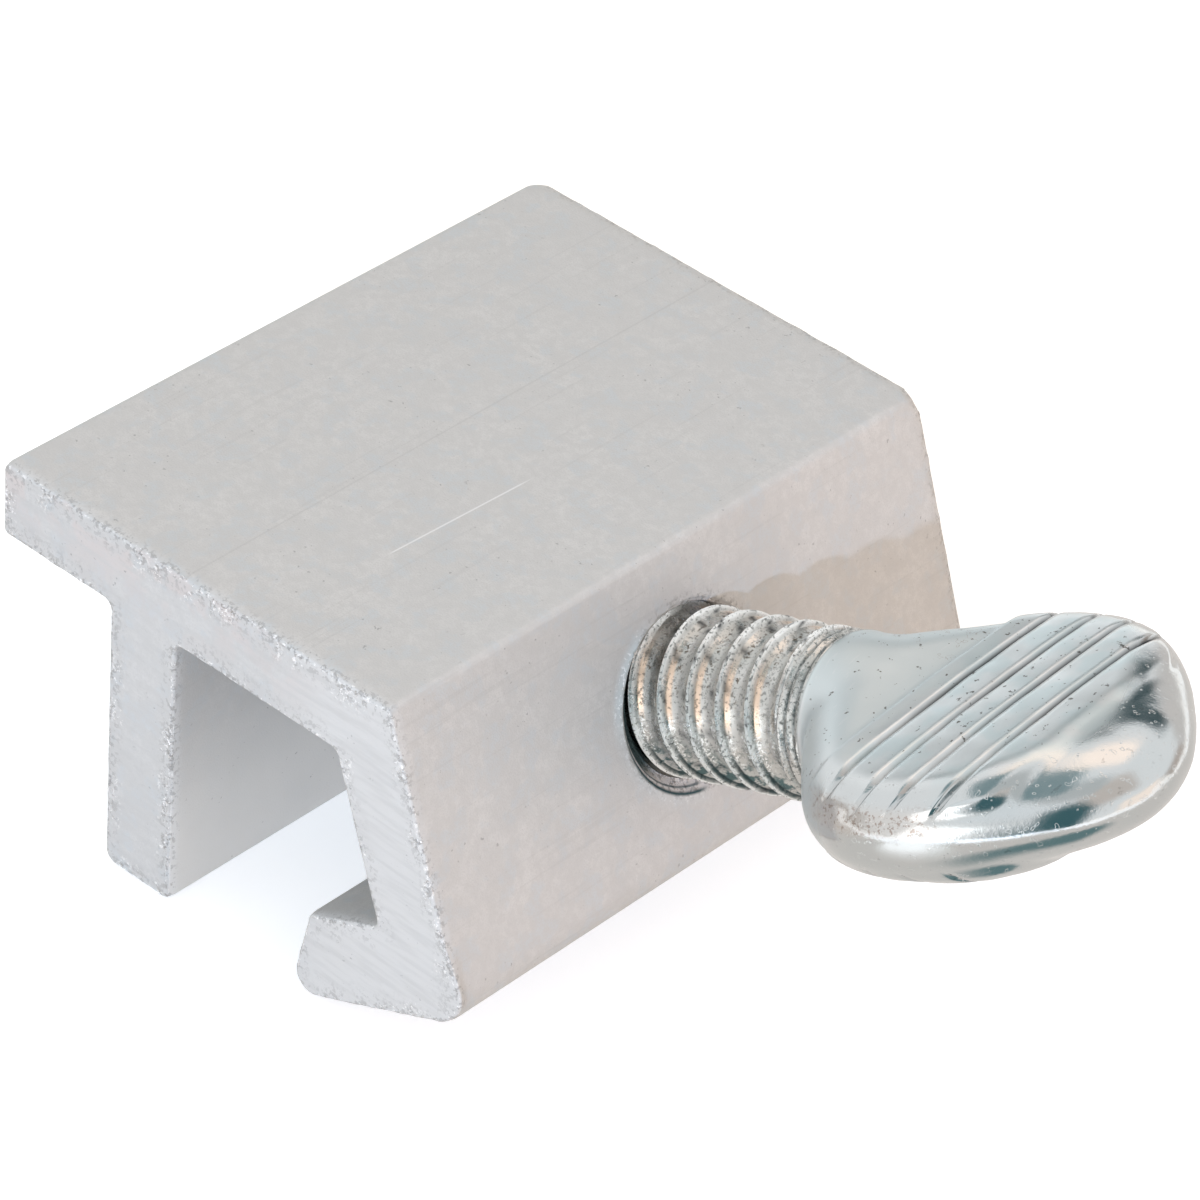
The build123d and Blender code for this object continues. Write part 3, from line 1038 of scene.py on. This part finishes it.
class SASHLOCK_OT_extrusion(bpy.types.Operator):
    """Models the sawn length of extrusion with its tapped hole"""

    bl_idname = "sash_lock.extrusion"
    bl_label = "Sawn Extrusion"

    def execute(self, context):
        settings = context.scene.sash_lock_body
        screw = context.scene.sash_lock_screw
        mesh = frame["nodes"]["lock_body"].data.copy()
        body = bpy.data.objects.new("sawn_extrusion", mesh)
        mesh.name = body.name
        context.scene.collection.objects.link(body)
        self.keep_end_outline(body, settings)
        self.draw_out(body, settings)
        self.refine_mouth(body)
        self.blunt_corners(body)
        self.drag_burr(body)
        roughen(body, self.wear_of(settings), 0.5 * MM, settings.burr_height)
        self.tap_hole(body, screw, settings.mouth_flare)
        mark_arrises(body, 0.45 * MM)
        make_active(body)
        bpy.ops.object.shade_smooth_by_angle(angle=math.radians(32))
        dress(body, "body", extruded_aluminium(settings))
        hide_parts("lock_body")
        return {"FINISHED"}

    def keep_end_outline(self, body, settings):
        """Leaves the near end's outline, with its long edges divided."""
        near = body_low.y + 0.01 * MM
        with editing(body):
            pick_all()
            bpy.ops.mesh.remove_doubles(threshold=0.001 * MM)
            pick("FACE", lambda face: face.normal.y > -0.99 or face.calc_center_median().y > near)
            bpy.ops.mesh.delete(type="FACE")
            pick_all()
            bpy.ops.mesh.dissolve_limited(angle_limit=math.radians(1))
            pick_all()
            bpy.ops.mesh.delete(type="ONLY_FACE")
            while pick("EDGE", lambda edge: edge.calc_length() > settings.outline_spacing):
                bpy.ops.mesh.subdivide(number_cuts=1)
            pick_all()
            bpy.ops.transform.translate(value=(0, settings.arris_width, 0))

    def draw_out(self, body, settings):
        """Extrudes the outline to the far end, closes both ends and rounds their arrises."""
        width = settings.arris_width
        length = body_high.y - body_low.y - 2 * width
        fine = 0.15 * MM
        fine_count = 4
        coarse_count = 30
        coarse = (length - 2 * fine_count * fine) / coarse_count

        def closes(face, place):
            return len(face.verts) > 8 and abs(face.calc_center_median().y - place) < 0.01 * MM

        with editing(body):
            pick_all()
            for step in [fine] * fine_count + [coarse] * coarse_count + [fine] * fine_count:
                extrude_by(0, step, 0)
            ends = (body_low.y + width, body_high.y - width)
            for place in ends:
                pick("EDGE", lambda edge: all(abs(v.co.y - place) < 0.01 * MM for v in edge.verts))
                bpy.ops.mesh.edge_face_add()
            pick_all()
            bpy.ops.mesh.normals_make_consistent(inside=False)
            for place in ends:
                pick("FACE", lambda face: closes(face, place))
                for inward, outward in ((0.134, 0.5), (0.366, 0.366), (0.5, 0.134)):
                    bpy.ops.mesh.inset(thickness=inward * width, depth=outward * width)
                bpy.ops.mesh.inset(thickness=0.1 * MM, depth=0)
            for place in (body_low.y, body_high.y):
                self.divide_end(place, 0.8 * MM)

    def divide_end(self, place, spacing):
        """Crosses an end's face with a grid, so that its wear can differ from place to place."""
        def on_end(face):
            flat = all(abs(vertex.co.y - place) < 0.005 * MM for vertex in face.verts)
            return flat and abs(face.normal.y) > 0.99

        for axis in (0, 2):
            normal = Vector((axis == 0, 0, axis == 2))
            for index in range(1, int((body_high[axis] - body_low[axis]) / spacing)):
                pick("FACE", on_end)
                point = normal * (body_low[axis] + index * spacing)
                bpy.ops.mesh.bisect(plane_co=point, plane_no=normal, threshold=0.0001 * MM)

    def blunt_corners(self, body):
        """Knocks the plate's far corners blunt, as far round each one as the reach."""
        reach = 0.75 * MM
        depth = 0.2 * MM
        for edge, inward in ((body_low.x, 1), (PLATE_EDGE, -1)):
            corner = Vector((edge, body_high.y, body_high.z))
            pull = Vector((inward, -1, -1)).normalized() * depth
            for vertex in body.data.vertices:
                vertex.co += pull * (1 - smoothly((vertex.co - corner).length, 0, reach))

    def drag_burr(self, body):
        """Drags a burr out at the near end of the wall's foot."""
        height = 0.22 * MM
        to_screw = SCREW_FRAME.inverted()
        for vertex in body.data.vertices:
            outer = smoothly((to_screw @ vertex.co).z, -0.9 * MM, -0.1 * MM)
            low = smoothly(-vertex.co.z, -0.8 * MM, 1.5 * MM) * outer
            near = 1 - smoothly(vertex.co.y - body_low.y, 0.05 * MM, 0.5 * MM)
            vertex.co += screw_axis * (height * low * near)

    def refine_mouth(self, body):
        """Divides the wall round the hole's mouth, so that its rough lip has something to bend."""
        with editing(body):
            pick("FACE", lambda face: near_mouth(face.calc_center_median()) > 0)
            bpy.ops.mesh.subdivide(number_cuts=2)
            pick("FACE", lambda face: abs(face.normal.y) < 0.9)
            bpy.ops.mesh.quads_convert_to_tris()

    def wear_of(self, settings):
        """Weight that is full on the ends' arrises and at the hole's mouth."""
        reach = 0.35 * MM

        def weight(vertex):
            to_end = min(vertex.co.y - body_low.y, body_high.y - vertex.co.y)
            on_cap = to_end < 0.01 * MM
            arris = 1 - smoothly(to_end, settings.arris_width, reach)
            if on_cap:
                arris = 0.3
            return max(arris, 0.3 * near_mouth(vertex.co))

        return weight

    def tap_hole(self, body, screw, flare):
        """Cuts the thread and the mouth's countersink, a little off centre, through the wall."""
        growth = screw.thread_fit
        tap = threaded_rod("tap", screw, -4.6 * MM, 2.0 * MM, growth)
        self.open_thread(tap, screw.crest_radius + growth)
        place_on_screw(tap)
        cut_away(body, tap)
        reach = 1.2 * MM
        radius = screw.crest_radius + growth + flare
        bpy.ops.mesh.primitive_cone_add(
            vertices=screw.turn_steps, radius1=radius - flare, radius2=radius + reach,
            depth=flare + reach, location=(*MOUTH_SHIFT, (reach - flare) / 2),
        )
        cone = new_object("countersink")
        with editing(cone):
            pick_all()
            bpy.ops.mesh.subdivide(number_cuts=1)
        apply_place(cone)
        place_on_screw(cone)
        cut_away(body, cone)

    def open_thread(self, tap, full_radius):
        """Fades the wall's thread out near the mouth, where the screw's run-out goes at full travel."""
        with shaping(tap) as shape:
            for vertex in shape.verts:
                radius = math.hypot(vertex.co.x, vertex.co.y)
                if radius < 0.1 * MM:
                    continue
                widening = smoothly(vertex.co.z, -0.8 * MM, -0.5 * MM) * (full_radius - radius)
                vertex.co.x *= 1 + widening / radius
                vertex.co.y *= 1 + widening / radius


def near_mouth(point):
    """1 at the hole's edge on the wall's outer face, fading to 0 a little way out."""
    local = SCREW_FRAME.inverted() @ point
    if abs(local.z) > 1.6 * MM:
        return 0.0
    return 1 - smoothly(math.hypot(local.x, local.y), 3.3 * MM, 4.6 * MM)


class SASHLOCK_OT_thumbscrew(bpy.types.Operator):
    """Models the thumbscrew: rolled thread, flared neck and ridged spade head"""

    bl_idname = "sash_lock.thumbscrew"
    bl_label = "Forged Thumbscrew"

    def execute(self, context):
        settings = context.scene.sash_lock_screw
        screw = threaded_rod("rod", settings, POINT_AT, NECK_AT - 0.12 * MM)
        turn_point(screw, settings)
        head = spade_head("head", settings)
        roughen(head, lambda vertex: smoothly(vertex.co.z, 8.2 * MM, 9.5 * MM), 2.5 * MM, 0.08 * MM)
        cut_away(head, screw, "UNION")
        screw = head
        screw.name = "forged_thumbscrew"
        place_on_screw(screw)
        make_active(screw)
        bpy.ops.object.shade_smooth_by_angle(angle=math.radians(50))
        dress(screw, "screw", zinc_plating(settings))
        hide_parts("thumbscrew")
        return {"FINISHED"}


class SASHLOCK_OT_stage(bpy.types.Operator):
    """Sets up the pale floor, the lamps, the studio surroundings and the camera"""

    bl_idname = "sash_lock.stage"
    bl_label = "Studio"

    def execute(self, context):
        settings = context.scene.sash_lock_stage
        self.lay_floor(settings)
        self.surround(context, settings)
        self.add_lamps(settings)
        self.add_cards()
        self.set_camera(context, settings)
        context.scene.view_settings.view_transform = "Standard"
        return {"FINISHED"}

    def lay_floor(self, settings):
        bpy.ops.mesh.primitive_plane_add(size=6, location=(0, 0, cad_box[0].z))
        floor = new_object("floor")
        apply_place(floor)
        paper = new_material("paper")
        paper.feed("Base Color", rgba(settings.floor_colour))
        paper.feed("Roughness", 0.9)
        paper.feed("Specular IOR Level", 0.2)
        paper.feed("Emission Color", rgba((0.94, 0.97, 1.0)))
        paper.feed("Emission Strength", paper.times(paper.backdrop_rays(), 0.40))
        floor.data.materials.append(paper.owner)

    def surround(self, context, settings):
        """Even light all round: white where it is seen, and the room's tint where it lights."""
        world = bpy.data.worlds.new("studio")
        context.scene.world = world
        sky = Finish(world, "Background")
        sideways = sky.split(sky.add("ShaderNodeTexCoord").outputs["Generated"])[0]
        room = sky.tint(sideways, rgba(settings.room_colour), rgba(settings.side_colour))
        sky.feed("Color", sky.tint(sky.backdrop_rays(), room, rgba((1, 1, 1))))

    def add_lamps(self, settings):
        self.area_lamp("key", 24.7, 19.5, 0.5, 0.012, settings.key_power, (0.57, 0.735, 1.0))
        self.area_lamp("warm_side", 110, 12, 0.5, 0.3, settings.side_power, (1.0, 0.55, 0.40))
        self.area_lamp("overhead", -60, 82, 0.5, 0.3, settings.overhead_power, (0.10, 0.50, 1.0))

    def area_lamp(self, name, azimuth, elevation, distance, size, power, colour):
        direction = toward(azimuth, elevation)
        lamp = bpy.data.lights.new(name, "AREA")
        lamp.size = size
        lamp.energy = power
        lamp.color = colour
        holder = bpy.data.objects.new(name, lamp)
        bpy.context.scene.collection.objects.link(holder)
        holder.location = direction * distance
        holder.rotation_mode = "QUATERNION"
        holder.rotation_quaternion = direction.to_track_quat("Z", "Y")
        holder.visible_camera = False
        holder.visible_glossy = False

    def add_cards(self):
        """Reflectors and flags that only the metal's gloss sees."""
        self.card("window", 8, 11, 34, 32, (1.0, 1.0, 1.0), 1.9, 0.15)
        self.card("window_top", 6, 46, 34, 40, (0.95, 0.98, 1.0))
        self.card("dark_room", 47, 22, 46, 84, (0.06, 0.15, 0.17))
        self.card("side_wall", 84, 52, 50, 50, (0.74, 0.66, 0.61))
        self.card("lit_wall", 106, 6, 46, 30, (1.0, 0.85, 0.75), 1.35, 0.2)
        self.card("far_wall", 150, 2, 50, 30, (0.60, 0.52, 0.47))
        self.card("back_wall", -176, 6, 44, 36, (0.76, 0.71, 0.68))
        self.card("ceiling_edge", -143, 28, 74, 21, (0.05, 0.09, 0.10), 1.0, 0.2)
        self.card("warm_ceiling", -146, 63, 44, 38, (1.0, 0.85, 0.75), 1.5)
        self.card("cool_ceiling", -50, 74, 50, 26, (0.26, 0.36, 0.38))
        self.card("zenith", 42, 74, 44, 36, (0.62, 0.64, 0.64))
        self.card("cool_wall", -127, 0, 50, 18, (0.84, 0.95, 1.0), 1.4)
        self.card("near_wall", -50, 2, 60, 20, (0.68, 0.64, 0.61))
        self.floor_card("table", TABLE, 0.2 * MM)

    def floor_card(self, name, corners, height):
        """A flat card that lies just over the floor, with patches that fade out."""
        bpy.ops.mesh.primitive_circle_add(vertices=len(corners), radius=1, fill_type="NGON")
        card = new_object(name)
        with shaping(card) as shape:
            for vertex, (x, y) in zip(shape.verts, corners):
                vertex.co = (x * MM, y * MM, cad_box[0].z + height)
        finish = self.lit_finish(name)
        finish.colour = rgba((0.79, 0.74, 0.70))
        for middle, reach, colour in FLOOR_PATCHES:
            patch = finish.place(middle, scale=reach, kind="TEXTURE")
            fade = finish.add("ShaderNodeTexGradient", {"Vector": patch}, gradient_type="SPHERICAL")
            finish.paint(colour, finish.ramp(fade.outputs["Fac"], 0.0, 0.5))
        finish.feed("Emission Color", finish.colour)
        self.hang(card, finish)

    def card(self, name, azimuth, elevation, wide, tall, colour, strength=1.0, softness=0.3):
        """A soft-edged plane square to the line from the object, of this angular size in degrees."""
        direction = toward(azimuth, elevation)
        distance = 0.4
        width, height = (2 * distance * math.tan(math.radians(span / 2)) for span in (wide, tall))
        turn = direction.to_track_quat("Z", "Y").to_matrix().to_4x4()
        size = Matrix.Diagonal((width, height, 1, 1))
        bpy.ops.mesh.primitive_plane_add(size=1)
        card = new_object(name)
        card.matrix_world = Matrix.Translation(direction * distance) @ turn @ size
        apply_place(card)
        finish = self.lit_finish(name)
        finish.feed("Emission Color", rgba(colour))
        finish.feed("Emission Strength", strength)
        edges = finish.split(finish.add("ShaderNodeTexCoord").outputs["UV"])[:2]
        inward = [finish.less(0.5, finish.size(finish.less(edge, 0.5))) for edge in edges]
        finish.feed("Alpha", finish.times(*(finish.ramp(edge, 0, softness) for edge in inward)))
        self.hang(card, finish)

    def lit_finish(self, name):
        """A black material that gives off light, of strength 1 unless it is set."""
        finish = new_material(name)
        finish.feed("Base Color", (0, 0, 0, 1))
        finish.feed("Specular IOR Level", 0)
        finish.feed("Emission Strength", 1)
        return finish

    def hang(self, card, finish):
        """Shows the card to nothing but gloss."""
        card.data.materials.append(finish.owner)
        card.visible_camera = False
        card.visible_diffuse = False
        card.visible_shadow = False

    def set_camera(self, context, settings):
        lens = bpy.data.cameras.new("camera")
        lens.sensor_width = 36
        lens.lens = settings.focal_length
        lens.clip_start = 0.01
        lens.clip_end = 20
        camera = bpy.data.objects.new("camera", lens)
        context.scene.collection.objects.link(camera)
        context.scene.camera = camera
        angles = (settings.camera_azimuth, settings.camera_elevation)
        back = toward(*(math.degrees(angle) for angle in angles))
        upright = back.to_track_quat("Z", "Y").to_matrix()
        roll = Matrix.Rotation(settings.camera_roll, 3, "Z")
        place = Vector(settings.aim) + back * settings.camera_distance
        camera.matrix_world = Matrix.Translation(place) @ (upright @ roll).to_4x4()


class SASHLOCK_PT_panel(bpy.types.Panel):
    """Lists the lock's pieces and sizes"""

    bl_label = "Sash Lock"
    bl_space_type = "VIEW_3D"
    bl_region_type = "UI"
    bl_category = "Sash Lock"

    def draw(self, context):
        for group, operator in STEPS:
            settings = getattr(context.scene, group)
            box = self.layout.box()
            for name in settings.__annotations__:
                box.prop(settings, name)
            box.operator(operator.bl_idname)


STEPS = (
    ("sash_lock_body", SASHLOCK_OT_extrusion),
    ("sash_lock_screw", SASHLOCK_OT_thumbscrew),
    ("sash_lock_stage", SASHLOCK_OT_stage),
)
GROUPS = {
    "sash_lock_body": SashLockBodySettings,
    "sash_lock_screw": SashLockScrewSettings,
    "sash_lock_stage": SashLockStageSettings,
}


def register():
    for name, group in GROUPS.items():
        bpy.utils.register_class(group)
        setattr(bpy.types.Scene, name, PointerProperty(type=group))
    for _, operator in STEPS:
        bpy.utils.register_class(operator)
    bpy.utils.register_class(SASHLOCK_PT_panel)


def unregister():
    bpy.utils.unregister_class(SASHLOCK_PT_panel)
    for _, operator in reversed(STEPS):
        bpy.utils.unregister_class(operator)
    for name, group in reversed(GROUPS.items()):
        delattr(bpy.types.Scene, name)
        bpy.utils.unregister_class(group)


def main():
    register()
    bpy.ops.sash_lock.extrusion()
    bpy.ops.sash_lock.thumbscrew()
    bpy.ops.sash_lock.stage()


if __name__ == "__main__":
    main()
